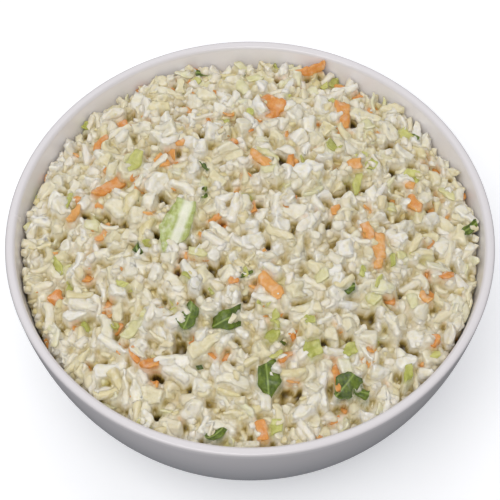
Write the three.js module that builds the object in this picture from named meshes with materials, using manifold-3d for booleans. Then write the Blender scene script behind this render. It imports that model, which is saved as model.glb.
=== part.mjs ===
// A round glazed bowl heaped with finely chopped coleslaw.
// Millimetres, +Z up. The origin is on the floor, in the middle of the bowl's foot ring.

import * as THREE from "three";
import { mergeVertices } from "three/addons/utils/BufferGeometryUtils.js";
import Module from "manifold-3d";

const wasm = await Module();
wasm.setup();

// The bowl's driving dimensions
const RIM_DIAMETER = 170;
const BOWL_HEIGHT = 70;
const LIP_THICKNESS = 3.5;
const LIP_OUTER_ROUNDING = 1;
const LIP_INNER_ROUNDING = 1.5;
const BASE_THICKNESS = 5;
const FOOT_DIAMETER = 94;
const FOOT_HEIGHT = 3;
const FOOT_WIDTH = 4.5;
const FOOT_CHAMFER = 0.8;

// The heap's driving dimensions
const EDGE_BELOW_RIM = 8.5; // where the heap meets the wall
const HEAP_RISE = 15.5; // from that edge to the crown
const HEAP_ROUNDNESS = 2.2; // the power of the dome's profile
const WALL_CLEARANCE = 0.6; // between food and glaze

// The real pieces, as length, width and thickness, each with its spread
const CHUNK = { count: 132, length: [5, 8], width: [3.8, 5.6], thickness: [2.6, 4] };
const SHRED = { count: 28, length: [7, 11], width: [1.9, 3], thickness: [1.5, 2.2] };
const LEAF = { count: 20, length: [6.5, 10], width: [4.5, 7], thickness: [1.2, 1.6] };

// The largest pieces have places of their own: at [x, y], turned by so many degrees.
const LEEK = { at: [-25, -1], turn: 62, length: 16, width: 11, thickness: 3 };
const GREENS = [
  { at: [-9, -37], turn: 15, length: 11, width: 9, thickness: 1.5 },
  { at: [8, -58], turn: 80, length: 9, width: 8, thickness: 1.5 },
  { at: [34, -60], turn: 30, length: 10, width: 8, thickness: 1.5 },
  { at: [57, 40], turn: 120, length: 9, width: 7, thickness: 1.3 },
];
const CARROTS = [
  { at: [23, 76], turn: 18, length: 13, width: 4, thickness: 2 },
  { at: [8, 54], turn: 50, length: 9, width: 6, thickness: 2.2 },
  { at: [35, 52], turn: 100, length: 11, width: 4.5, thickness: 2 },
  { at: [5, 24], turn: 155, length: 12, width: 4.5, thickness: 2 },
  { at: [-49, 15], turn: 20, length: 10, width: 3.5, thickness: 2 },
  { at: [44, -10], turn: 95, length: 13, width: 3.5, thickness: 2 },
  { at: [8, -25], turn: 130, length: 10, width: 4, thickness: 2 },
  { at: [29, -55], turn: 85, length: 11, width: 3.5, thickness: 2 },
];

const RIM_RADIUS = RIM_DIAMETER / 2;
const FOOT_RADIUS = FOOT_DIAMETER / 2;
const UP = new THREE.Vector3(0, 0, 1);

// One seeded stream of random numbers, so that every build is alike.
function seededRandom(seed) {
  let state = seed;
  return () => {
    state = (state + 0x6d2b79f5) | 0;
    let mixed = Math.imul(state ^ (state >>> 15), 1 | state);
    mixed = (mixed + Math.imul(mixed ^ (mixed >>> 7), 61 | mixed)) ^ mixed;
    return ((mixed ^ (mixed >>> 14)) >>> 0) / 4294967296;
  };
}

const random = seededRandom(29);
const between = (low, high) => low + (high - low) * random();
const within = ([low, high]) => between(low, high);

// The bowl's outer wall falls almost straight from the lip and then rounds in to the foot.
const wallCurve = new THREE.CubicBezierCurve(
  new THREE.Vector2(RIM_RADIUS, BOWL_HEIGHT - LIP_OUTER_ROUNDING),
  new THREE.Vector2(0.972 * RIM_RADIUS, BOWL_HEIGHT - 0.417 * RIM_RADIUS),
  new THREE.Vector2(0.809 * RIM_RADIUS, FOOT_HEIGHT),
  new THREE.Vector2(FOOT_RADIUS, FOOT_HEIGHT),
);

// A point of the wall at share t from lip to foot, moved inwards by a distance.
function wallPoint(t, inwards) {
  const along = wallCurve.getTangent(t);
  const point = wallCurve.getPoint(t);
  return new THREE.Vector2(point.x + along.y * inwards, point.y - along.x * inwards);
}

// The inside of the wall, which thickens from the lip to the base.
function innerPoint(t, clearance = 0) {
  const thickness = THREE.MathUtils.lerp(LIP_THICKNESS, BASE_THICKNESS, t);
  return wallPoint(t, thickness + clearance);
}

// The share t at which the inside of the wall is at a height.
function shareAtHeight(height, clearance) {
  let [low, high] = [0, 1];
  for (let step = 0; step < 40; step++) {
    const middle = (low + high) / 2;
    if (innerPoint(middle, clearance).y > height) low = middle;
    else high = middle;
  }
  return (low + high) / 2;
}

function turned(profile, segments) {
  return new THREE.LatheGeometry(profile, segments).rotateX(Math.PI / 2);
}

// A quarter round of the lip's top, from the first angle to the last, in two steps.
function lipCorner(radius, height, rounding, firstAngle, lastAngle) {
  return Array.from({ length: 3 }, (_, i) => {
    const angle = THREE.MathUtils.lerp(firstAngle, lastAngle, i / 2);
    return new THREE.Vector2(radius + rounding * Math.cos(angle), height + rounding * Math.sin(angle));
  });
}

function bowlGeometry() {
  const wallSteps = 7;
  const footInside = FOOT_RADIUS - FOOT_WIDTH;
  const profile = [
    new THREE.Vector2(0, FOOT_HEIGHT - 1),
    new THREE.Vector2(footInside - 1, FOOT_HEIGHT - 1),
    new THREE.Vector2(footInside, 0),
    new THREE.Vector2(FOOT_RADIUS - FOOT_CHAMFER, 0),
    new THREE.Vector2(FOOT_RADIUS, FOOT_CHAMFER),
  ];
  for (let i = wallSteps; i > 0; i--) profile.push(wallPoint(i / wallSteps, 0));
  const outer = RIM_RADIUS - LIP_OUTER_ROUNDING;
  const inner = RIM_RADIUS - LIP_THICKNESS + LIP_INNER_ROUNDING;
  profile.push(...lipCorner(outer, BOWL_HEIGHT - LIP_OUTER_ROUNDING, LIP_OUTER_ROUNDING, 0, Math.PI / 2));
  profile.push(
    ...lipCorner(inner, BOWL_HEIGHT - LIP_INNER_ROUNDING, LIP_INNER_ROUNDING, Math.PI / 2, Math.PI),
  );
  for (let i = 1; i <= wallSteps; i++) profile.push(innerPoint(i / wallSteps));
  profile.push(new THREE.Vector2(0, innerPoint(1).y));
  return turned(profile, 64);
}

// The heap's smooth dome, and the slow rises and dips left by the serving spoon.
const edgeShare = shareAtHeight(BOWL_HEIGHT - EDGE_BELOW_RIM, WALL_CLEARANCE);
const edge = innerPoint(edgeShare, WALL_CLEARANCE);

function heapHeight(x, y) {
  const share = Math.min(1, Math.hypot(x, y) / edge.x);
  const dome = HEAP_RISE * (1 - share ** HEAP_ROUNDNESS);
  const swell = Math.sin(x / 11 + 0.6) * Math.cos(y / 13 - 0.4) + 0.6 * Math.sin((x - y) / 8 + 1.1);
  return edge.y + dome + 0.9 * swell * (1 - share ** 4);
}

// The bare core: rings of 6, 12, 18... points over the top, then down inside the wall.
function coreSolid() {
  const topRings = 14;
  const wallRings = 4;
  const lumps = 1.1;
  const places = [0, 0, heapHeight(0, 0)];
  const starts = [0];
  const ringPoints = (count, radius, height) => {
    starts.push(places.length / 3);
    for (let i = 0; i < count; i++) {
      const angle = (2 * Math.PI * i) / count;
      const [x, y] = [radius * Math.cos(angle), radius * Math.sin(angle)];
      places.push(x, y, height(x, y));
    }
  };
  for (let ring = 1; ring < topRings; ring++) {
    const lumpy = (x, y) => heapHeight(x, y) + between(-lumps, lumps);
    ringPoints(6 * ring, (edge.x * ring) / topRings, lumpy);
  }
  const last = 6 * topRings;
  ringPoints(last, edge.x, () => edge.y);
  for (let ring = 1; ring <= wallRings; ring++) {
    const point = innerPoint(THREE.MathUtils.lerp(edgeShare, 1, ring / wallRings), WALL_CLEARANCE);
    ringPoints(last, point.x, () => point.y);
  }
  const faces = [];
  for (let ring = 1; ring <= topRings; ring++) {
    for (let i = 0; i < 6 * ring; i++) {
      const side = Math.floor(i / ring);
      const outer = (n) => starts[ring] + (n % (6 * ring));
      const inner = (n) => starts[ring - 1] + (ring === 1 ? 0 : n % (6 * (ring - 1)));
      faces.push(inner(i - side), outer(i), outer(i + 1));
      if (i % ring !== 0) faces.push(inner(i - side - 1), outer(i), inner(i - side));
    }
  }
  for (let ring = topRings; ring < topRings + wallRings; ring++) {
    for (let i = 0; i < last; i++) {
      const [upper, lower] = [starts[ring], starts[ring + 1]];
      const next = (i + 1) % last;
      faces.push(upper + i, lower + i, lower + next, upper + i, lower + next, upper + next);
    }
  }
  const bottom = places.length / 3;
  places.push(0, 0, innerPoint(1, WALL_CLEARANCE).y);
  const floor = starts[topRings + wallRings];
  for (let i = 0; i < last; i++) faces.push(floor + i, bottom, floor + ((i + 1) % last));
  return solidFrom(new Float32Array(places), new Uint32Array(faces));
}

function solidFrom(vertProperties, triVerts) {
  return new wasm.Manifold(new wasm.Mesh({ numProp: 3, vertProperties, triVerts }));
}

function solidOf(geometry) {
  geometry.deleteAttribute("normal");
  geometry.deleteAttribute("uv");
  const merged = mergeVertices(geometry);
  return solidFrom(new Float32Array(merged.attributes.position.array), new Uint32Array(merged.index.array));
}

// A knife-cut cube of stalk, with no two corners alike.
function chunkGeometry(length, width, thickness) {
  const box = new THREE.BoxGeometry(length, width, thickness);
  box.deleteAttribute("normal");
  box.deleteAttribute("uv");
  const chunk = mergeVertices(box);
  const places = chunk.attributes.position;
  for (let i = 0; i < places.count; i++) {
    places.setXYZ(
      i,
      places.getX(i) * between(0.55, 1.1),
      places.getY(i) * between(0.55, 1.1),
      places.getZ(i) * between(0.65, 1.1),
    );
  }
  return chunk;
}

// A grated strip that curls upwards at its ends and tapers to one of them.
function shredGeometry(length, width, thickness) {
  const shred = new THREE.BoxGeometry(length, width, thickness, 2, 1, 1);
  const places = shred.attributes.position;
  const curl = between(0.1, 0.22);
  const taper = between(0.3, 0.7);
  for (let i = 0; i < places.count; i++) {
    const along = (2 * places.getX(i)) / length;
    places.setY(i, places.getY(i) * (1 - taper * (0.5 + 0.5 * along)));
    places.setZ(i, places.getZ(i) + curl * length * along ** 2);
  }
  return shred;
}

// A thin wavy piece of leaf: both faces share one wave.
function leafGeometry(length, width, thickness) {
  const leaf = new THREE.BoxGeometry(length, width, thickness, 2, 2, 1);
  const places = leaf.attributes.position;
  const wave = between(0.9, 1.5);
  const skew = between(-0.25, 0.25);
  for (let i = 0; i < places.count; i++) {
    const along = (2 * places.getX(i)) / length;
    const across = (2 * places.getY(i)) / width;
    places.setY(i, places.getY(i) * (1 - 0.3 * Math.abs(along)) + skew * places.getX(i));
    places.setZ(i, places.getZ(i) + wave * (Math.abs(along) - 0.5 * across));
  }
  return leaf;
}

// Turns a piece, leans it a little, lays it on the dome and sinks it by a share of its height.
function layOnHeap(geometry, [x, y], angle, tilt, sunk) {
  const step = 2;
  const slope = new THREE.Vector3(
    heapHeight(x - step, y) - heapHeight(x + step, y),
    heapHeight(x, y - step) - heapHeight(x, y + step),
    2 * step,
  ).normalize();
  const turn = new THREE.Quaternion().setFromAxisAngle(UP, angle);
  const lean = new THREE.Quaternion().setFromEuler(new THREE.Euler(between(-tilt, tilt), between(-tilt, tilt), 0));
  const onSlope = new THREE.Quaternion().setFromUnitVectors(UP, slope);
  geometry.applyQuaternion(onSlope.multiply(lean).multiply(turn));
  geometry.computeBoundingBox();
  const { min, max } = geometry.boundingBox;
  const sink = sunk * (max.z - min.z);
  geometry.translate(x, y, heapHeight(x, y) - min.z - sink);
  return keptOffTheWall(geometry);
}

// Slides a piece towards the middle until every corner is clear of the wall and the lip.
function keptOffTheWall(geometry) {
  const places = geometry.attributes.position;
  const corner = new THREE.Vector3();
  const inwards = new THREE.Vector3();
  let excess = 0;
  for (let i = 0; i < places.count; i++) {
    corner.fromBufferAttribute(places, i);
    const height = Math.min(corner.z, BOWL_HEIGHT - LIP_THICKNESS);
    const room = innerPoint(shareAtHeight(height, WALL_CLEARANCE), WALL_CLEARANCE).x;
    const over = Math.hypot(corner.x, corner.y) - room;
    if (over > excess) {
      excess = over;
      inwards.set(-corner.x, -corner.y, 0).normalize();
    }
  }
  inwards.multiplyScalar(excess * 1.05);
  return geometry.translate(inwards.x, inwards.y, 0);
}

// Spreads pieces evenly in a sunflower spiral, so that none bunch and none leave a bare patch.
function scatter(total) {
  const goldenAngle = Math.PI * (3 - Math.sqrt(5));
  const spots = [];
  for (let i = 0; i < total; i++) {
    const radius = (edge.x - 2) * Math.sqrt((i + 0.5) / total);
    const angle = i * goldenAngle + between(-0.02, 0.02);
    spots.push([radius * Math.cos(angle), radius * Math.sin(angle)]);
  }
  return spots;
}

// The small pieces of every kind, shuffled and laid on the spiral.
function scatteredPieces() {
  const kinds = [
    { of: CHUNK, make: chunkGeometry, tilt: 0.5, sunk: [0.32, 0.5] },
    { of: SHRED, make: shredGeometry, tilt: 0.35, sunk: [0.3, 0.42] },
    { of: LEAF, make: leafGeometry, tilt: 0.4, sunk: [0.3, 0.42] },
  ];
  const order = kinds.flatMap((kind) => Array.from({ length: kind.of.count }, () => kind));
  for (let i = order.length - 1; i > 0; i--) {
    const other = Math.floor(random() * (i + 1));
    [order[i], order[other]] = [order[other], order[i]];
  }
  return scatter(order.length).map((spot, i) => {
    const { of, make, tilt, sunk } = order[i];
    const piece = make(within(of.length), within(of.width), within(of.thickness));
    return layOnHeap(piece, spot, between(0, 2 * Math.PI), tilt, within(sunk));
  });
}

// The large pieces, which lie flatter and higher than the rest.
function placedPieces() {
  const place = (make, { at, turn, length, width, thickness }) =>
    layOnHeap(make(length, width, thickness), at, THREE.MathUtils.degToRad(turn), 0.12, 0.25);
  return [
    place(leafGeometry, LEEK),
    ...GREENS.map((green) => place(leafGeometry, green)),
    ...CARROTS.map((carrot) => place(shredGeometry, carrot)),
  ];
}

// The heap as one solid: the core with its pieces fused on and any loose scrap dropped.
function heapGeometry() {
  let heap = coreSolid();
  for (const piece of [...scatteredPieces(), ...placedPieces()]) heap = heap.add(solidOf(piece));
  const [body] = heap.decompose().sort((one, other) => other.volume() - one.volume());
  const { numProp, numVert, vertProperties, triVerts } = body.getMesh();
  const places = new Float32Array(numVert * 3);
  for (let i = 0; i < numVert; i++) {
    places.set(vertProperties.subarray(i * numProp, i * numProp + 3), i * 3);
  }
  const geometry = new THREE.BufferGeometry();
  geometry.setAttribute("position", new THREE.BufferAttribute(places, 3));
  geometry.setIndex(new THREE.BufferAttribute(new Uint32Array(triVerts), 1));
  return geometry;
}

function named(name, geometry, colour, roughness) {
  const material = new THREE.MeshStandardMaterial({ color: colour, roughness, metalness: 0 });
  const mesh = new THREE.Mesh(geometry, material);
  mesh.name = name;
  return mesh;
}

const part = new THREE.Group();
part.add(named("bowl", bowlGeometry(), 0xe6e2e4, 0.12));
part.add(named("coleslaw", heapGeometry(), 0xe2dac6, 0.45));

export default part;
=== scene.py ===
"""A white glazed bowl heaped with finely chopped coleslaw, dressed for a studio picture.

Lengths are worked out in millimetres, and go into the meshes in metres.
"""

import math

import bmesh
import bpy
import numpy as np
from mathutils import Matrix, Vector, noise


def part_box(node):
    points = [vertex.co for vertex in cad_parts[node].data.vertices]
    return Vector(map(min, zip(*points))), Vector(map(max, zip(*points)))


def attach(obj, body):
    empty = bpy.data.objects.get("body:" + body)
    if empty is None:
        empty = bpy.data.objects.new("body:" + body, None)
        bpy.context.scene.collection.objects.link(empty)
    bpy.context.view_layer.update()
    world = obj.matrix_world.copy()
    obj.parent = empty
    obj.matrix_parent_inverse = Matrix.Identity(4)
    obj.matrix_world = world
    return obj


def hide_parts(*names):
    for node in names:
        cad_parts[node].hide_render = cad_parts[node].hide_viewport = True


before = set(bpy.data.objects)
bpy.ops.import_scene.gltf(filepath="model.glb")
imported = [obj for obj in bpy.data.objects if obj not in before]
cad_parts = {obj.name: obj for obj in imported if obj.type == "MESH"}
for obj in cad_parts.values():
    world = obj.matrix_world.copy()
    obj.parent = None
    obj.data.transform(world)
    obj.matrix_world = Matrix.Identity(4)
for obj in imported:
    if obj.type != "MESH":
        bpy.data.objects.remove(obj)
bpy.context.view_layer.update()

# The bowl: one pressed shell of white porcelain under a clear gloss glaze. The wall falls almost
# straight from a flat lip with rounded corners, then turns in to a foot ring that is ground flat and
# left unglazed.

MM = 0.001
bowl_low, bowl_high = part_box("bowl")
RIM = (bowl_high[0] - bowl_low[0]) / 2 / MM
HEIGHT = bowl_high[2] / MM
LIP = 3.5  # thickness of the lip
LIP_OUTER = 1.0  # rounding of its outer corner
LIP_INNER = 1.5
BASE = 5.0  # thickness of the middle of the base
FOOT = 47.0  # outer radius of the foot ring
FOOT_HEIGHT = 3.0
FOOT_WIDTH = 4.5


def linear(code):
    """An sRGB hex colour as the linear RGBA that a shader wants."""
    parts = [int(code[i : i + 2], 16) / 255 for i in (1, 3, 5)]
    return [c / 12.92 if c <= 0.04045 else ((c + 0.055) / 1.055) ** 2.4 for c in parts] + [1.0]


def wall_profile(inwards_at_lip, inwards_at_base, steps):
    """(radius, height) down the wall, moved inwards from its outer face."""
    knots = np.array(
        [
            (RIM, HEIGHT - LIP_OUTER),
            (0.972 * RIM, HEIGHT - 0.417 * RIM),
            (0.809 * RIM, FOOT_HEIGHT),
            (FOOT, FOOT_HEIGHT),
        ]
    )
    t = np.linspace(0, 1, steps)[:, None]
    s = 1 - t
    at = s**3 * knots[0] + 3 * s**2 * t * knots[1] + 3 * s * t**2 * knots[2] + t**3 * knots[3]
    along = s**2 * (knots[1] - knots[0]) + 2 * s * t * (knots[2] - knots[1]) + t**2 * (knots[3] - knots[2])
    along /= np.linalg.norm(along, axis=1, keepdims=True)
    inwards = inwards_at_lip + (inwards_at_base - inwards_at_lip) * t
    return at + inwards * np.column_stack([along[:, 1], -along[:, 0]])


def corner(radius, height, rounding, first, last):
    """A rounded corner of the lip, from the first angle to the last, in degrees."""
    angles = np.radians(np.linspace(first, last, 7))
    return np.column_stack([radius + rounding * np.cos(angles), height + rounding * np.sin(angles)])


def new_object(name, bm=None, mesh=None):
    """A mesh object at the origin, from a bmesh or from a ready mesh."""
    if mesh is None:
        mesh = bpy.data.meshes.new(name)
        bm.to_mesh(mesh)
        bm.free()
    obj = bpy.data.objects.new(name, mesh)
    bpy.context.collection.objects.link(obj)
    return obj


def add(tree, kind, links=(), inputs=(), **settings):
    """A node with its settings, its inputs' values, and links as {input name: output socket}."""
    node = tree.nodes.new(kind)
    for key, value in settings.items():
        setattr(node, key, value)
    for name, value in dict(inputs).items():
        node.inputs[name].default_value = value
    for name, socket in dict(links).items():
        tree.links.new(socket, node.inputs[name])
    return node


def new_material(name):
    """A material with its tree and a bare Principled shader joined to the output."""
    material = bpy.data.materials.new(name)
    material.use_nodes = True
    tree = material.node_tree
    tree.nodes.clear()
    shader = add(tree, "ShaderNodeBsdfPrincipled")
    add(tree, "ShaderNodeOutputMaterial", {"Surface": shader.outputs["BSDF"]})
    return material, tree, shader


def make_bowl():
    foot_inside = FOOT - FOOT_WIDTH
    profile = [
        (0.0, FOOT_HEIGHT - 1),
        (foot_inside - 2.0, FOOT_HEIGHT - 1),
        (foot_inside - 0.7, FOOT_HEIGHT - 1.4),
        (foot_inside, 0.4),
        (foot_inside + 0.4, 0.0),
        (FOOT - 0.9, 0.0),
        (FOOT - 0.3, 0.3),
        (FOOT, 0.9),
        *wall_profile(0, 0, 48)[::-1],
        *corner(RIM - LIP_OUTER, HEIGHT - LIP_OUTER, LIP_OUTER, 0, 90)[1:],
        *corner(RIM - LIP + LIP_INNER, HEIGHT - LIP_INNER, LIP_INNER, 90, 180),
        *wall_profile(LIP, BASE, 48)[1:],
    ]
    profile.append((0.0, profile[-1][1]))
    bm = bmesh.new()
    verts = [bm.verts.new((r * MM, 0, z * MM)) for r, z in profile]
    edges = [bm.edges.new(pair) for pair in zip(verts, verts[1:])]
    bmesh.ops.spin(
        bm, geom=verts + edges, cent=(0, 0, 0), axis=(0, 0, 1), angle=2 * math.pi, steps=192, use_merge=True
    )
    bmesh.ops.remove_doubles(bm, verts=bm.verts, dist=1e-6)
    bmesh.ops.recalc_face_normals(bm, faces=bm.faces)
    for face in bm.faces:
        face.smooth = True
    return new_object("bowl_shell", bm)


def glazed_porcelain():
    """Clear gloss glaze on white porcelain; painted shade greys it low down and on the lip top, where glaze
    pools and thins.
    """
    material, tree, shader = new_material("glazed_porcelain")
    place = add(tree, "ShaderNodeTexCoord").outputs["Object"]
    height = add(tree, "ShaderNodeSeparateXYZ", {"Vector": place}).outputs["Z"]
    # Painted shade for the outer wall: the glaze greys and blues from 62 mm down to 12 mm, and a little of
    # the blue is pooled glaze.
    pooled_glaze_and_shade = add(tree, "ShaderNodeMapRange", {"Value": height}, {"From Min": 12 * MM, "From Max": 62 * MM})
    glaze = add(
        tree,
        "ShaderNodeMix",
        {"Factor": pooled_glaze_and_shade.outputs["Result"]},
        {"A": linear("#DBE0E8"), "B": linear("#F6F2F3")},
        data_type="RGBA",
    )
    # Painted shade on the lip top, where the glaze is also thin: it greys over its top 1.6 mm.
    thin = add(
        tree,
        "ShaderNodeMapRange",
        {"Value": height},
        {"From Min": (HEIGHT - 1.6) * MM, "From Max": (HEIGHT - 0.5) * MM},
    )
    lip = add(
        tree,
        "ShaderNodeMix",
        {"Factor": thin.outputs["Result"], "A": glaze.outputs["Result"]},
        {"B": linear("#DCD7D7")},
        data_type="RGBA",
    )
    bare = add(tree, "ShaderNodeMapRange", {"Value": height}, {"From Min": 0.6 * MM, "From Max": 0.2 * MM})
    clay = add(
        tree,
        "ShaderNodeMix",
        {"Factor": bare.outputs["Result"], "A": lip.outputs["Result"]},
        {"B": linear("#D3CBC0")},
        data_type="RGBA",
    )
    # The glaze's slow ripple is about 22 mm long, and its orange peel about 1 mm.
    cloud = add(tree, "ShaderNodeTexNoise", {"Vector": place}, {"Scale": 45.0, "Detail": 3.0})
    specks = add(tree, "ShaderNodeTexNoise", {"Vector": place}, {"Scale": 900.0, "Detail": 2.0})
    rough = add(tree, "ShaderNodeMapRange", {"Value": cloud.outputs["Fac"]}, {"To Min": 0.2, "To Max": 0.3})
    ripple = add(
        tree, "ShaderNodeBump", {"Height": cloud.outputs["Fac"]}, {"Strength": 0.1, "Distance": 0.6 * MM}
    )
    peel = add(
        tree,
        "ShaderNodeBump",
        {"Height": specks.outputs["Fac"], "Normal": ripple.outputs["Normal"]},
        {"Strength": 0.05, "Distance": 0.05 * MM},
    )
    tree.links.new(clay.outputs["Result"], shader.inputs["Base Color"])
    tree.links.new(rough.outputs["Result"], shader.inputs["Roughness"])
    tree.links.new(peel.outputs["Normal"], shader.inputs["Normal"])
    shader.inputs["Coat Weight"].default_value = 0.3
    shader.inputs["Coat Roughness"].default_value = 0.08
    return material


bowl = make_bowl()
bowl.data.materials.append(glazed_porcelain())
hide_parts("bowl")
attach(bowl, "root")

# The heap's lie: the salad was spooned in and left loose, a low dome that starts a little under the
# lip, lumpy where the dressing holds pieces together, with a pit here and there. Pieces come to rest
# on it one by one, from the bottom up.

EDGE_BELOW_RIM = 8.5
HEAP_RISE = 15.5
LAID_DEPTH = 5.5  # how far down from the top the pieces start
EDGE_GAP = 0.6  # between the heap's edge and the glaze
GLAZE_GAP = 0.25  # kept between a piece and the glaze
CELL = 0.5  # of the map that says how high the food already lies
MAP_SIZE = int(2 * RIM / CELL)
edge_z = HEIGHT - EDGE_BELOW_RIM
inner_wall = wall_profile(LIP, BASE, 60)
rng = np.random.default_rng(4)
noise.seed_set(4)  # otherwise noise vectors are seeded from the clock


def between(low, high):
    return rng.uniform(low, high)


def wall_radius(z):
    """The inside radius of the bowl at a height, which stops at the lip."""
    return np.interp(np.minimum(z, HEIGHT - LIP_INNER), inner_wall[::-1, 1], inner_wall[::-1, 0])


edge_r = float(wall_radius(edge_z)) - EDGE_GAP


def heap_height(x, y):
    share = np.minimum(1, np.hypot(x, y) / edge_r)
    dome = HEAP_RISE * (1 - share**2.2)
    swell = np.sin(x / 11 + 0.6) * np.cos(y / 13 - 0.4) + 0.6 * np.sin((x - y) / 8 + 1.1)
    return edge_z + dome + 0.9 * swell * (1 - share**4)


# The deep gaps that show best, as (x, y) seen from above.
GAPS = [
    (56, -16),
    (62, -28),
    (34, -42),
    (52, -43),
    (-23, -63),
    (-24, -46),
    (28, 38),
    (-12, -18),
    (35, 16),
    (12, 29),
    (39, -36),
    (13, -62),
    (-42, -33),
    (-52, 61),
    (0, -27),
    (-52, -58),
    (-64, -48),
    (-30, 71),
]


def lump(x, y):
    """How much a clump stands over the heap here, or a gap between clumps lies under it."""
    clump = noise.noise(Vector((x / 8.0, y / 8.0, 7.0)))
    small = noise.noise(Vector((x / 3.6, y / 3.6, 2.0)))
    pit = max(0.0, noise.noise(Vector((x / 5.0, y / 5.0, 11.0))) - 0.38)
    gap = sum(math.exp(-((x - a) ** 2 + (y - b) ** 2) / 7.0) for a, b in GAPS)
    return 4.0 * clump + 1.3 * small - 12.0 * pit - 6.0 * gap


centres = (np.arange(MAP_SIZE) + 0.5) * CELL - RIM
map_x, map_y = np.meshgrid(centres, centres, indexing="ij")
laid = heap_height(map_x, map_y) - LAID_DEPTH  # how high the food lies so far
tint = np.tile(np.array(linear("#E2D6B8")[:3]), (MAP_SIZE, MAP_SIZE, 1))  # the colour that lies on top


def cells_of(points):
    cells = ((points[:, :2] + RIM) / CELL).astype(int)
    return np.clip(cells, 0, MAP_SIZE - 1).T


def turned(lean, spin=None, tip=0.0):
    """A turn about the vertical, a lean drawn from a spread, and a tip towards the back, in radians."""
    spin = between(0, 2 * math.pi) if spin is None else spin
    lean_x, lean_y = rng.normal(0, lean, 2)
    tilt = Matrix.Rotation(lean_x + tip, 3, "X") @ Matrix.Rotation(lean_y, 3, "Y")
    return np.array(tilt @ Matrix.Rotation(spin, 3, "Z"))


def rotated(points, turn):
    """Points turned by a matrix, in plain sums that come out alike on every machine."""
    return points[:, :1] * turn[:, 0] + points[:, 1:2] * turn[:, 1] + points[:, 2:] * turn[:, 2]


class Rest:
    """A shape turned, let down at a place, sunk in a little and pushed clear of the glaze.

    It comes down until only the given share of it, in per cent, is still over what lies there.
    """

    def __init__(self, shape, x, y, turn, sink, share):
        self.shape, self.turn = shape, turn
        self.skin = rotated(shape.skin, turn) + (x, y, 0)
        i, j = cells_of(self.skin)
        down = np.percentile(laid[i, j] - self.skin[:, 2], share) - sink
        self.shift = np.array([x, y, down])
        self.skin[:, 2] += down
        reach = np.hypot(self.skin[:, 0], self.skin[:, 1])
        excess = reach - wall_radius(self.skin[:, 2]) + GLAZE_GAP
        worst = int(np.argmax(excess))
        if excess[worst] > 0:
            inwards = -self.skin[worst, :2] / reach[worst] * excess[worst] * 1.02
            self.shift[:2] += inwards
            self.skin[:, :2] += inwards

    def over(self):
        """How far its upper side stands over the heap's lie."""
        x, y = self.shift[:2]
        return float(np.percentile(self.skin[:, 2], 85) - heap_height(x, y)) - lump(x, y)

    def points(self):
        return rotated(self.shape.points, self.turn) + self.shift


def settle(shape, tries, lean, sink):
    """Tries a shape at several spots and turns, and keeps the one that fills the lowest dip."""
    reach = edge_r * np.sqrt(rng.uniform(0, 1, tries))
    angle = rng.uniform(0, 2 * math.pi, tries)
    rests = [
        Rest(shape, r * math.cos(a), r * math.sin(a), turned(lean), sink, share=78)
        for r, a in zip(reach, angle)
    ]
    return min(rests, key=Rest.over)


# The shapes of the cut pieces: a chopper leaves the cabbage as blocks and slivers of stalk with soft
# edges, and as curling scraps of leaf with straight cut sides. Each piece is one of a few dozen
# shapes, turned anew.


class Shape:
    """A closed mesh about the origin, in millimetres, and a close cover of points over its faces.

    Both are arrays, because laying it down reads them many times over.
    """

    def __init__(self, points, faces):
        points = np.round(points, 6)
        self.points, self.faces = points, faces
        a, b, c = points[faces[:, 0]], points[faces[:, 1]], points[faces[:, 2]]
        self.skin = np.vstack(
            [points, (a + b + c) / 3, (a + b) / 2, (4 * a + b + c) / 6, (a + 4 * b + c) / 6]
        )

    def scaled(self, size):
        return Shape(self.points * size, self.faces)


def roughened(points, size, amount):
    """Moves points by a smooth noise whose lumps are of a size, both in millimetres."""
    shift = rng.uniform(-50, 50, 3)
    return points + amount * np.array([noise.noise_vector(Vector((p + shift) / size)) for p in points])


def grid_faces(index):
    """Two triangles for each cell of a grid of point numbers."""
    a, b = index[:-1, :-1].ravel(), index[1:, :-1].ravel()
    c, d = index[1:, 1:].ravel(), index[:-1, 1:].ravel()
    return np.vstack([np.column_stack([a, b, c]), np.column_stack([a, c, d])])


def box_grid(cells):
    """The points and outward triangles of a box from -1 to 1, its sides split into cells."""
    points, faces = [], []
    for axis in range(3):
        a, b = (axis + 1) % 3, (axis + 2) % 3
        along_a, along_b = np.linspace(-1, 1, cells[a] + 1), np.linspace(-1, 1, cells[b] + 1)
        u, v = np.meshgrid(along_a, along_b, indexing="ij")
        split = grid_faces(np.arange(u.size).reshape(u.shape))
        for side in (-1, 1):
            spots = np.empty((u.size, 3))
            spots[:, axis], spots[:, a], spots[:, b] = side, u.ravel(), v.ravel()
            faces.append(split[:, ::side] + sum(map(len, points)))
            points.append(spots)
    points, same = np.unique(np.round(np.vstack(points), 6), axis=0, return_inverse=True)
    return points, same.ravel()[np.vstack(faces)]


def relaxed(points, faces):
    """Moves each point halfway to the mean of its neighbours, which softens the edges."""
    total, count = np.zeros_like(points), np.zeros((len(points), 1))
    for k in range(3):
        np.add.at(total, faces[:, k], points[faces[:, (k + 1) % 3]])
        np.add.at(count, faces[:, k], 1)
    return (points + total / count) / 2


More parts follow.
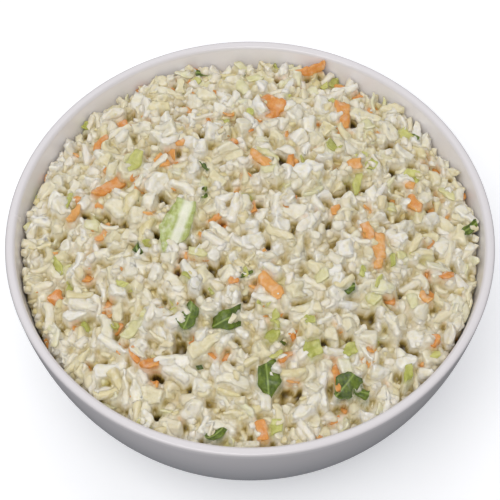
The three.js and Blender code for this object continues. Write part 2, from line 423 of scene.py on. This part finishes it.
def cut_block(length, width, thickness, cuts=5, cell=1.4, bend=0.0, flutes=0.0):
    """A block trimmed by slanting cuts, its edges softened, tapered, bent, fluted and roughened."""
    size = np.array([length, width, thickness]) / 2
    points, faces = box_grid(np.maximum(2, np.round(2 * size / cell)).astype(int))
    points *= size / (np.abs(points) ** 7).sum(axis=1, keepdims=True) ** (1 / 7)
    for _ in range(cuts):
        normal = rng.normal(0, 1, 3) / size**0.6
        normal /= math.hypot(*normal)
        height = (points * normal).sum(axis=1)
        points -= np.maximum(0, height - height.max() * between(0.5, 0.9))[:, None] * normal
    points = relaxed(points, faces)
    along = points[:, 0] / (length / 2)
    points[:, 1:] *= 1 - between(-0.3, 0.3) * along[:, None]
    points[:, 2] += bend * along**2 + flutes * np.sin(4.2 * points[:, 1] + between(0, 6))
    points[:, 1] += 0.6 * bend * along**2
    return Shape(roughened(roughened(points, 2.4, 0.7), 1.1, 0.34), faces)


def cut_scrap(length, width, thickness, curl, sides=5, cells=(7, 5)):
    """A thin curling scrap with straight cut sides; both faces are split alike and share one wave."""
    nx, ny = cells
    u, v = np.meshgrid(np.linspace(-1, 1, nx + 1), np.linspace(-1, 1, ny + 1), indexing="ij")
    share = np.maximum(np.abs(u), np.abs(v))
    angle = np.arctan2(v, u)
    ways = (np.arange(sides) + rng.uniform(-0.25, 0.25, sides)) * 2 * math.pi / sides
    inset = rng.uniform(0.7, 1.0, sides)
    reach = 1 / np.maximum(0.62, np.cos(angle[..., None] - ways) / inset).max(axis=-1)
    x = share * reach * np.cos(angle) * length / 2
    y = share * reach * np.sin(angle) * width / 2
    fold = between(0, math.pi)
    across = (x * math.cos(fold) + y * math.sin(fold)) / (length / 2)
    along = (y * math.cos(fold) - x * math.sin(fold)) / (length / 2)
    middle = curl * across**2 + 0.3 * curl * np.sin(3 * along + between(0, 6)) + 0.12 * np.cos(7 * along)
    edge = thickness / 2 * (1 - 0.45 * share**3)
    top = np.stack([x, y, middle + edge], axis=-1).reshape(-1, 3)
    bottom = np.stack([x, y, middle - edge], axis=-1).reshape(-1, 3)
    moves = roughened(top, 2.4, 0.6) - top
    index = np.arange((nx + 1) * (ny + 1)).reshape(nx + 1, ny + 1)
    upper = grid_faces(index)
    count = len(top)
    ring = np.concatenate([index[:, 0], index[-1, 1:], index[-2::-1, -1], index[0, -2:0:-1]])
    after = np.roll(ring, -1)
    near = np.column_stack([ring, ring + count, after + count])
    far = np.column_stack([ring, after + count, after])
    faces = np.vstack([upper, upper[:, ::-1] + count, near, far])
    return Shape(np.vstack([top + moves, bottom + moves]), faces)


# The pieces, kind by kind: blocks, slivers and crumbs of white stalk, cream scraps of leaf, grated
# carrot, and scraps of green leaf. Each kind is one joined mesh.


class Kind:
    """One kind of piece: its shapes, and the points, faces and shades of every piece laid so far."""

    def __init__(self, name, light, dark, shapes=()):
        self.name = name
        self.light, self.dark = light, dark
        self.shapes = shapes
        self.points, self.faces, self.shades, self.grain = [], [], [], []
        self.total = 0

    def keep(self, points, faces, shade, grain):
        self.points.append(points)
        self.faces.append(faces + self.total)
        self.shades.append(np.full(len(points), shade))
        self.grain.append(grain)
        self.total += len(points)

    def put(self, rest, shade, start):
        """Keeps a piece that has come to rest; its grain begins at a place of its own, or at its middle."""
        i, j = cells_of(rest.skin)
        np.maximum.at(laid, (i, j), rest.skin[:, 2])
        on_top = rest.skin[:, 2] > laid[i, j] - 0.3
        light, dark = np.array(linear(self.light)[:3]), np.array(linear(self.dark)[:3])
        tint[i[on_top], j[on_top]] = light + (dark - light) * shade
        self.keep(rest.points(), rest.shape.faces, shade, rest.shape.points + start)

    def lay(self, count, lean, sink, ceiling, tries=8):
        """Lays pieces, skipping any that would stand above the ceiling over the heap's lie."""
        for _ in range(count):
            shape = self.shapes[rng.integers(len(self.shapes))].scaled(between(0.8, 1.15))
            rest = settle(shape, tries, lean, between(*sink))
            shade, start = between(0, 1) ** 1.5, rng.uniform(40, 90, 3)
            if rest.over() < ceiling:
                self.put(rest, shade, start)

    def place(self, shape, x, y, turn, shade, tip=0, sink=0.4):
        """Lets one piece down at its own place, turned and tipped by degrees."""
        way = turned(0.12, math.radians(turn), math.radians(tip))
        self.put(Rest(shape, x, y, way, sink, share=85), shade, 0)

    def build(self):
        """The joined mesh, with each point's shade, its depth in the heap and its place on its piece."""
        points, faces = np.vstack(self.points), np.vstack(self.faces)
        mesh = bpy.data.meshes.new(self.name)
        mesh.from_pydata((points * MM).tolist(), [], faces.tolist())
        for name, values in (("shade", np.concatenate(self.shades)), ("depth", depth_at(points))):
            mesh.attributes.new(name, "FLOAT", "POINT").data.foreach_set("value", values.astype(np.float32))
        grain = mesh.attributes.new("grain", "FLOAT_VECTOR", "POINT")
        grain.data.foreach_set("vector", np.vstack(self.grain).astype(np.float32).ravel())
        mesh.shade_smooth()
        return new_object(self.name, mesh=mesh)


def blurred(field, reach):
    """The mean over a square of cells, taken twice, so that it is nearly round."""
    size = 2 * reach + 1
    for _ in range(2):
        for axis in (0, 1):
            width = [(reach + 1, reach) if k == axis else (0, 0) for k in (0, 1)]
            total = np.cumsum(np.pad(field, width, mode="edge"), axis)
            count = total.shape[axis]
            up_to = np.take(total, range(size, count), axis)
            before = np.take(total, range(count - size), axis)
            field = (up_to - before) / size
    return field


def sampled(field, x, y):
    """A map's value at any point, taken evenly between the four nearest cells."""
    u = np.clip((x + RIM) / CELL - 0.5, 0, MAP_SIZE - 1.001)
    v = np.clip((y + RIM) / CELL - 0.5, 0, MAP_SIZE - 1.001)
    i, j = u.astype(int), v.astype(int)
    u, v = u - i, v - j
    near = field[i, j] * (1 - v) + field[i, j + 1] * v
    far = field[i + 1, j] * (1 - v) + field[i + 1, j + 1] * v
    return near * (1 - u) + far * u


def depth_at(points):
    """How far each point lies under the heap's finished surface, in millimetres."""
    return np.clip(sampled(surface, points[:, 0], points[:, 1]) - points[:, 2], -3, 8)


def shapes_of(count, make):
    return [make() for _ in range(count)]


def block(length, width, thickness, **options):
    return lambda: cut_block(between(*length), between(*width), between(*thickness), **options)


def scrap(length, width, thickness, curl):
    return lambda: cut_scrap(
        between(*length), between(*width), between(*thickness), between(*curl), int(rng.integers(4, 7))
    )


# Each kind has its name, its light and its dark tone, and its stock of shapes.
chunks = Kind(
    "cabbage_blocks",
    "#EBE6DE",
    "#DACC98",
    shapes_of(40, block((5.5, 9.5), (3.4, 5.6), (2.6, 4.4), bend=0.7)),
)
top_chunks = Kind(
    "top_cabbage_blocks",
    "#ECE9E2",
    "#DDD1A1",
    shapes_of(26, block((5.6, 9.5), (3.8, 6.2), (3.2, 5.0), cuts=7, cell=1.1, bend=0.8, flutes=0.25))
    + shapes_of(22, block((6.5, 12), (2.6, 4.2), (2.0, 3.4), cuts=6, cell=1.1, bend=1.3, flutes=0.25)),
)
slivers = Kind(
    "cabbage_slivers",
    "#ECE7DE",
    "#DACC93",
    shapes_of(26, block((7, 12), (2.8, 4.0), (2.0, 3.0), bend=1.1)),
)
crumbs = Kind(
    "cabbage_crumbs",
    "#EBE6DC",
    "#D8C98F",
    shapes_of(24, block((2.8, 5.0), (2.2, 3.6), (1.8, 2.8), cuts=3)),
)
scraps = Kind(
    "cabbage_leaf_scraps",
    "#E8E3CF",
    "#D3CD88",
    shapes_of(30, scrap((5, 9), (3.4, 5.6), (1.1, 1.9), (0.5, 1.8))),
)
greens = Kind(
    "pale_green_leaf",
    "#CBC97A",
    "#A8AC46",
    shapes_of(16, scrap((4, 8), (2.6, 5), (0.7, 1.2), (0.4, 1.8))),
)
ribbed = Kind("ribbed_green_leaf", "#B2BA62", "#A0A84A")
carrots = Kind(
    "grated_carrot",
    "#D88C38",
    "#E2A95E",
    shapes_of(12, block((4, 9), (2.4, 4.4), (1.1, 1.8), cuts=4, cell=1.2, bend=0.9)),
)
herbs = Kind(
    "dark_green_leaf",
    "#546A0A",
    "#384C04",
    shapes_of(10, scrap((2, 4.2), (1.0, 2.4), (0.4, 0.6), (0.3, 1.0))),
)

# The lower pieces, in three rounds.
for _ in range(3):
    chunks.lay(200, lean=0.6, sink=(0.4, 1.2), ceiling=0.0)
    scraps.lay(70, lean=0.5, sink=(0.2, 0.7), ceiling=0.2)
    slivers.lay(120, lean=0.5, sink=(0.2, 0.8), ceiling=0.2)
    crumbs.lay(420, lean=0.7, sink=(0.2, 0.7), ceiling=0.4)
    greens.lay(20, lean=0.4, sink=(0.1, 0.4), ceiling=0.2)
    carrots.lay(50, lean=0.35, sink=(0.1, 0.4), ceiling=0.2)

# The largest blocks lie on top.
carrots.lay(84, lean=0.35, sink=(0.1, 0.4), ceiling=1.0)
top_chunks.lay(420, lean=0.8, sink=(0.3, 1.1), ceiling=1.6)

# The pieces that stand out, as (x, y, turn, length, width): their places on the heap, seen from above.
LARGE_CARROTS = [
    (8, 53, 70, 10, 8),
    (34, 51, 90, 12, 5),
    (5, 24, -38, 12, 4),
    (-50, 16, 34, 12, 5),
    (44, -10, 85, 14, 5),
    (41, -3, 110, 8, 3),
    (7, -25, -52, 11, 4.5),
    (29, -55, 80, 12, 4),
    (-33, -52, -5, 6.5, 4.6),
    (-38, -49, 105, 6.5, 2.6),
    (-48, 49, 25, 6, 3),
    (-31, 27, -35, 6, 4),
    (-61, 6, 67, 9, 2.4),
    (58, 10, -52, 8, 4),
    (57, 20, -20, 5, 3),
    (37, 25, 10, 5, 4),
    (59, -27, -45, 5, 3),
    (62, -41, 40, 5, 4),
    (4, -74, 100, 7, 3.4),
    (27, -69, 14, 6, 2.4),
    (-12, 0, 42, 5, 2.6),
    (-25, 34, 25, 4, 2.6),
    (-79, 6, 40, 5, 3.4),
]
for x, y, turn, length, width in LARGE_CARROTS:
    carrots.place(cut_block(1.1 * length, 1.15 * width, 1.8, cell=1.0, bend=0.8), x, y, turn, between(0, 1))
# One long shred leans on the far wall.
carrots.place(cut_block(15, 4.5, 1.6, cell=1.0, bend=1.0), 23, 76, 16, 0.2, tip=40)
DARK_LEAVES = [
    (-20, -37, 75, 9, 5),
    (-8, -38, 26, 9, 6),
    (6, -58, 95, 11, 7),
    (31, -60, 50, 9, 7),
    (36, -62, -28, 5, 3),
    (32, -26, 10, 6, 3.6),
    (58, 43, 20, 6, 3.6),
    (77, 3, 35, 6, 3),
    (-11, -75, 31, 6, 4),
    (-18, 75, 5, 7, 2.6),
    (-38, -10, 100, 4, 2),
    (-16, 11, 80, 3.4, 2.2),
]
for x, y, turn, length, width in DARK_LEAVES:
    leaf = cut_scrap(1.2 * length, 1.2 * width, 0.6, 3.0, 5, (9, 6))
    herbs.place(leaf, x, y, turn, between(0, 1), tip=15, sink=0.3)
PALE_LEAVES = [
    (-41, 27, 80, 9, 5.4),
    (57, 44, 120, 8, 5),
    (33, -46, 30, 6.5, 5),
    (52, -54, 80, 9, 3),
    (-77, 21, 75, 9, 5),
    (-60, 51, 30, 5.5, 4),
    (-64, 14, 85, 9, 2),
    (49, -13, 85, 6, 2),
    (38, 19, 75, 10, 3.6),
    (21, -47, 20, 7, 6),
    (8, -73, 10, 6.5, 6),
    (4, -31, 40, 5, 5),
]
for x, y, turn, length, width in PALE_LEAVES:
    greens.place(cut_scrap(length, width, 1.3, 1.0, 5, (9, 6)), x, y, turn, between(0, 1), sink=0.3)

# The last few lie over these, and cover them in part.
herbs.lay(16, lean=0.35, sink=(0.1, 0.3), ceiling=1.4, tries=6)
carrots.lay(26, lean=0.35, sink=(0.1, 0.4), ceiling=1.4)
top_chunks.lay(90, lean=0.8, sink=(0.3, 1.1), ceiling=2.0)
slivers.lay(150, lean=0.6, sink=(0.2, 0.8), ceiling=1.6)
scraps.lay(50, lean=0.5, sink=(0.1, 0.5), ceiling=1.4)
greens.lay(34, lean=0.4, sink=(0.1, 0.4), ceiling=1.4)
crumbs.lay(260, lean=0.7, sink=(0.2, 0.8), ceiling=1.2)

# Pieces along the wall, where the heap's edge is ragged. None comes up to the lip.
EDGE_PIECES = 110
CLEAR_OF_LIP = 2.5
for _ in range(EDGE_PIECES):
    kind = (top_chunks, slivers, crumbs, scraps)[int(rng.integers(4))]
    shape = kind.shapes[rng.integers(len(kind.shapes))].scaled(between(0.8, 1.05))
    a, r = between(0, 2 * math.pi), edge_r - between(0.5, 5)
    rest = Rest(shape, r * math.cos(a), r * math.sin(a), turned(0.8), between(0, 0.5), share=70)
    shade, start = between(0, 1) ** 1.5, rng.uniform(40, 90, 3)
    if rest.skin[:, 2].max() < HEIGHT - CLEAR_OF_LIP:
        kind.put(rest, shade, start)

# The one leaf with a white rib lies over all, left of the middle.
ribbed.place(cut_scrap(20, 11, 1.8, 1.6, 5, (12, 9)), -25, -1, 72, 0.5, tip=12, sink=0.2)

surface = blurred(laid, 3)

# The salad's core: under and between the top pieces the fines and the dressing run together into one
# mass. It fills the bowl almost to the glaze, and rises as a film in the creases between pieces.


def over_neighbours(field, pick):
    """The highest or the lowest of each cell and its eight neighbours."""
    return pick([np.roll(field, (i, j), (0, 1)) for i in (-1, 0, 1) for j in (-1, 0, 1)], axis=0)


FILM_DOWN = 0.6  # how far the film lies under the pieces' tops
CORE_GAP = 0.5  # between the core and the glaze


def make_core():
    film = over_neighbours(over_neighbours(laid, np.max), np.min)
    film = 0.5 * film + 0.5 * blurred(film, 1)
    count = 280  # cells along each side of the square grid that is drawn out to a disc
    u, v = np.meshgrid(np.linspace(-1, 1, count + 1), np.linspace(-1, 1, count + 1), indexing="ij")
    share = np.maximum(np.abs(u), np.abs(v))
    wide = np.abs(u) >= np.abs(v)
    with np.errstate(divide="ignore", invalid="ignore"):
        angle = np.where(wide, v / u * math.pi / 4, math.pi / 2 - u / v * math.pi / 4)
    angle = np.nan_to_num(angle) + np.where(np.where(wide, u, v) < 0, math.pi, 0)
    x, y = share * edge_r * np.cos(angle), share * edge_r * np.sin(angle)
    ripple = [
        0.3 * noise.noise(Vector((a / 1.4, b / 1.4, 3.0)))
        + 0.5 * noise.noise(Vector((a / 4.0, b / 4.0, 6.0)))
        for a, b in zip(x.ravel(), y.ravel())
    ]
    level = sampled(film, x, y) - FILM_DOWN + np.reshape(ripple, x.shape)
    near_edge = np.clip((1 - share) * edge_r / 2.0, 0, 1)
    level = np.minimum(level * near_edge + (edge_z - 2.0) * (1 - near_edge), level)
    top = np.stack([x, y, level], axis=-1).reshape(-1, 3)
    index = np.arange((count + 1) ** 2).reshape(count + 1, count + 1)
    faces = [grid_faces(index)]
    ring = np.concatenate([index[:-1, 0], index[-1, :-1], index[:0:-1, -1], index[0, :0:-1]])
    way = top[ring, :2] / edge_r
    down = [point for point in inner_wall if point[1] < edge_z - 3.0][::6]
    layers = [ring]
    points = [top]
    total = len(top)
    for r, z in down:
        points.append(np.column_stack([(r - CORE_GAP) * way, np.full(len(ring), z + CORE_GAP)]))
        layers.append(total + np.arange(len(ring)))
        total += len(ring)
    points.append([[0, 0, down[-1][1] + CORE_GAP]])
    for upper, lower in zip(layers, layers[1:]):
        upper_next, lower_next = np.roll(upper, -1), np.roll(lower, -1)
        faces.append(np.column_stack([upper, lower, lower_next]))
        faces.append(np.column_stack([upper, lower_next, upper_next]))
    last = layers[-1]
    faces.append(np.column_stack([last, np.full(len(last), total), np.roll(last, -1)]))
    points = np.vstack(points)
    core = Kind("salad_core", None, None)
    core.keep(points, np.vstack(faces), 0.5, points)
    piece = core.build()
    smooth_tint = [blurred(tint[..., k], 1) for k in range(3)]
    tints = np.column_stack([sampled(channel, points[:, 0], points[:, 1]) for channel in smooth_tint])
    attribute = piece.data.attributes.new("tint", "FLOAT_VECTOR", "POINT")
    attribute.data.foreach_set("vector", tints.astype(np.float32).ravel())
    return piece


# How cut cabbage, carrot and leaf look: moist plant flesh lets light in a millimetre or two. The dressing
# coats it thinly, shines in small spots and gathers between pieces, where the colour is painted shade:
# beige in the creases, and olive and dark in the pits.

FILM = "#EBE6DB"
# Painted shade between pieces: beige in the creases, olive and dark in the pits.
CREASE_SHADE = "#D2BE62"
PIT_SHADE = "#5A4C08"
GLOSS = 0.34


def flesh(name, kind, streak, grain_scale, depth_of_light=0.5, film=0.5, wet=0.5, vein=None):
    """Moist flesh: two tones by piece, fibres along it, a cream film of dressing and painted shade in the
    gaps.
    """
    material, tree, shader = new_material(name)
    place = add(tree, "ShaderNodeTexCoord").outputs["Object"]
    shade = add(tree, "ShaderNodeAttribute", attribute_name="shade").outputs["Fac"]
    depth = add(tree, "ShaderNodeAttribute", attribute_name="depth").outputs["Fac"]
    grain = add(tree, "ShaderNodeAttribute", attribute_name="grain").outputs["Vector"]
    if kind:
        tones = {"A": linear(kind.light), "B": linear(kind.dark)}
        colour = add(tree, "ShaderNodeMix", {"Factor": shade}, tones, data_type="RGBA").outputs["Result"]
    else:
        colour = add(tree, "ShaderNodeAttribute", attribute_name="tint").outputs["Color"]

    # Fibres run the piece's long way. Grain is in millimetres, so their width is 1 / grain_scale.
    lengthways = add(tree, "ShaderNodeMapping", {"Vector": grain}, {"Scale": (0.3, 1.0, 1.0)})
    fibres = add(
        tree,
        "ShaderNodeTexNoise",
        {"Vector": lengthways.outputs["Vector"]},
        {"Scale": grain_scale, "Detail": 4.0, "Roughness": 0.6},
    ).outputs["Fac"]
    # Blotches are about 2.2 mm. The dressing lies in patches of about 2.4 mm, with beads of 0.8 mm.
    blotches, patches, beads = (
        add(tree, "ShaderNodeTexNoise", {"Vector": at}, {"Scale": scale, "Detail": detail}).outputs["Fac"]
        for at, scale, detail in ((grain, 0.45, 2.0), (place, 420.0, 3.0), (place, 1200.0, 2.0))
    )

    # Each layer: its pattern, where that begins and is full, how strong it gets, its colour and its blend.
    layers = [(blotches, 0.45, 0.65, 0.6, streak, "MIX"), (fibres, 0.4, 0.7, 0.35, streak, "MIX")]
    if vein:
        middle, inner, outer, rib = vein
        across = add(tree, "ShaderNodeSeparateXYZ", {"Vector": grain}).outputs["Y"]
        aside = add(tree, "ShaderNodeMath", {"Value": across}, {1: middle}, operation="SUBTRACT").outputs[0]
        offset = add(tree, "ShaderNodeMath", {"Value": aside}, operation="ABSOLUTE").outputs[0]
        layers.append((offset, outer, inner, 1.0, rib, "MIX"))
    layers.append((patches, 0.5, 0.7, film, FILM, "MIX"))
    # Painted shade: the colour darkens with depth under the heap's surface, to beige in creases and olive
    # in pits.
    layers.append((depth, 0.2, 1.9, 0.95, CREASE_SHADE, "MULTIPLY"))
    layers.append((depth, 1.3, 2.7, 0.95, PIT_SHADE, "MULTIPLY"))
    for pattern, begins, full, strength, code, blend in layers:
        limits = {"From Min": begins, "From Max": full, "To Max": strength}
        amount = add(tree, "ShaderNodeMapRange", {"Value": pattern}, limits).outputs["Result"]
        colour = add(
            tree,
            "ShaderNodeMix",
            {"Factor": amount, "A": colour},
            {"B": linear(code)},
            data_type="RGBA",
            blend_type=blend,
        ).outputs["Result"]
    tree.links.new(colour, shader.inputs["Base Color"])

    # Fibres, dressing and beads stand out by some tenths of a millimetre, one over the other.
    below = {}
    for pattern, strength, lift in ((fibres, 0.7, 0.5), (patches, 0.8, 0.7), (beads, 0.6, 0.25)):
        amounts = {"Strength": strength, "Distance": lift * MM}
        bump = add(tree, "ShaderNodeBump", {"Height": pattern, **below}, amounts)
        below = {"Normal": bump.outputs["Normal"]}
    tree.links.new(bump.outputs["Normal"], shader.inputs["Normal"])
    rough = add(
        tree,
        "ShaderNodeMapRange",
        {"Value": patches},
        {"From Min": 0.35, "From Max": 0.65, "To Min": GLOSS + 0.14, "To Max": GLOSS},
    )
    tree.links.new(rough.outputs["Result"], shader.inputs["Roughness"])
    shader.inputs["Subsurface Weight"].default_value = 0.9
    shader.inputs["Subsurface Radius"].default_value = (0.9, 0.95, 1.0)
    shader.inputs["Subsurface Scale"].default_value = depth_of_light * MM
    shader.inputs["Specular IOR Level"].default_value = 0.3 + 0.4 * wet
    shader.inputs["Coat Weight"].default_value = wet
    shader.inputs["Coat Roughness"].default_value = 0.12
    return material


looks = {
    # Stalk and rib are dense and nearly white, creamier towards the cabbage's core.
    chunks: flesh("white_cabbage_stalk", chunks, "#E6DDBA", 0.8),
    top_chunks: flesh("crisp_cabbage_stalk", top_chunks, "#E8E0BE", 0.8),
    scraps: flesh("cream_cabbage_leaf", scraps, "#DFDBAC", 0.9),
    slivers: flesh("cut_cabbage_rib", slivers, "#E3DAB4", 1.0),
    crumbs: flesh("cabbage_crumb", crumbs, "#E1D4AC", 1.0),
    # Outer leaf is thinner and green, so less of the dressing's white lies on it.
    greens: flesh("pale_green_cabbage", greens, "#D6D488", 0.7, film=0.12, wet=0.25),
    ribbed: flesh(
        "green_leaf_with_white_rib", ribbed, "#D3DDA0", 1.2, film=0.4, vein=(-1.7, 1.0, 2.2, "#E6E6CE")
    ),
    # Carrot is grated, so its sides are torn and take the dressing in patches.
    carrots: flesh("raw_carrot", carrots, "#E7AE64", 1.0, film=0.3, wet=0.25),
    # The dark leaf is thin and keeps its own shine, with a paler vein.
    herbs: flesh(
        "dark_green_leaf",
        herbs,
        "#7E9220",
        1.2,
        film=0.03,
        wet=0.3,
        depth_of_light=0.1,
        vein=(0.3, 0.1, 0.45, "#93A550"),
    ),
}
for kind, material in looks.items():
    piece = kind.build()
    piece.data.materials.append(material)
    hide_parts("coleslaw")
    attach(piece, "root")

core = make_core()
core.data.materials.append(flesh("dressing_and_fines", None, "#E2D7B6", 0.3, depth_of_light=1.4))
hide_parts("coleslaw")
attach(core, "root")

# The studio: a pale floor in a light tent, with a soft light over the viewer's left shoulder and a
# weak one behind, seen from the photograph's camera.

bm = bmesh.new()
bmesh.ops.create_grid(bm, x_segments=1, y_segments=1, size=3.0)
floor = new_object("floor", bm)
floor_paint, floor_tree, floor_shader = new_material("pale_floor")
floor_shader.inputs["Base Color"].default_value = linear("#FCFCFC")
floor_shader.inputs["Roughness"].default_value = 0.9
floor_shader.inputs["Emission Color"].default_value = (1, 1, 1, 1)
floor_shader.inputs["Emission Strength"].default_value = 0.2
floor.data.materials.append(floor_paint)
floor.visible_diffuse = False  # so that it throws no light up at the bowl's outer wall
floor.visible_glossy = False


def soft_light(name, place, aim, size, power):
    """A square area light at a place, turned to its aim, in metres and watts."""
    light = bpy.data.lights.new(name, "AREA")
    light.shape = "SQUARE"
    light.size = size
    light.energy = power
    obj = bpy.data.objects.new(name, light)
    obj.location = place
    obj.rotation_euler = (Vector(aim) - Vector(place)).to_track_quat("-Z", "Y").to_euler()
    bpy.context.collection.objects.link(obj)


soft_light("over_the_left_shoulder", (-0.25, -0.65, 1.45), (0, 0, 0.06), 1.0, 11)
soft_light("from_behind", (-0.1, 0.5, 0.9), (0, 0.02, 0.07), 0.7, 1.5)

# The tent: even and nearly white over the table, dark under it.
world = bpy.data.worlds.new("tent")
world.use_nodes = True
tent = world.node_tree
towards = add(tent, "ShaderNodeTexCoord").outputs["Generated"]
up = add(tent, "ShaderNodeSeparateXYZ", {"Vector": towards}).outputs["Z"]
glow = add(
    tent,
    "ShaderNodeMapRange",
    {"Value": up},
    {"From Min": -0.05, "From Max": 0.2, "To Min": 0.15, "To Max": 0.55},
)
tent.nodes["Background"].inputs["Color"].default_value = linear("#F8F9FF")
tent.links.new(glow.outputs["Result"], tent.nodes["Background"].inputs["Strength"])
bpy.context.scene.world = world
bpy.context.scene.view_settings.view_transform = "Standard"

ELEVATION = math.radians(57.46)
DISTANCE = 6 * RIM * MM
rim_centre = Vector((0, 0, HEIGHT * MM))
aim = rim_centre - Vector((0, 0, 13.2 * MM))
camera = bpy.data.objects.new("camera", bpy.data.cameras.new("camera"))
camera.location = rim_centre + DISTANCE * Vector((0, -math.cos(ELEVATION), math.sin(ELEVATION)))
camera.rotation_euler = (aim - camera.location).to_track_quat("-Z", "Y").to_euler()
camera.data.lens = 105.6
camera.data.sensor_width = 36.0
bpy.context.collection.objects.link(camera)
bpy.context.scene.camera = camera
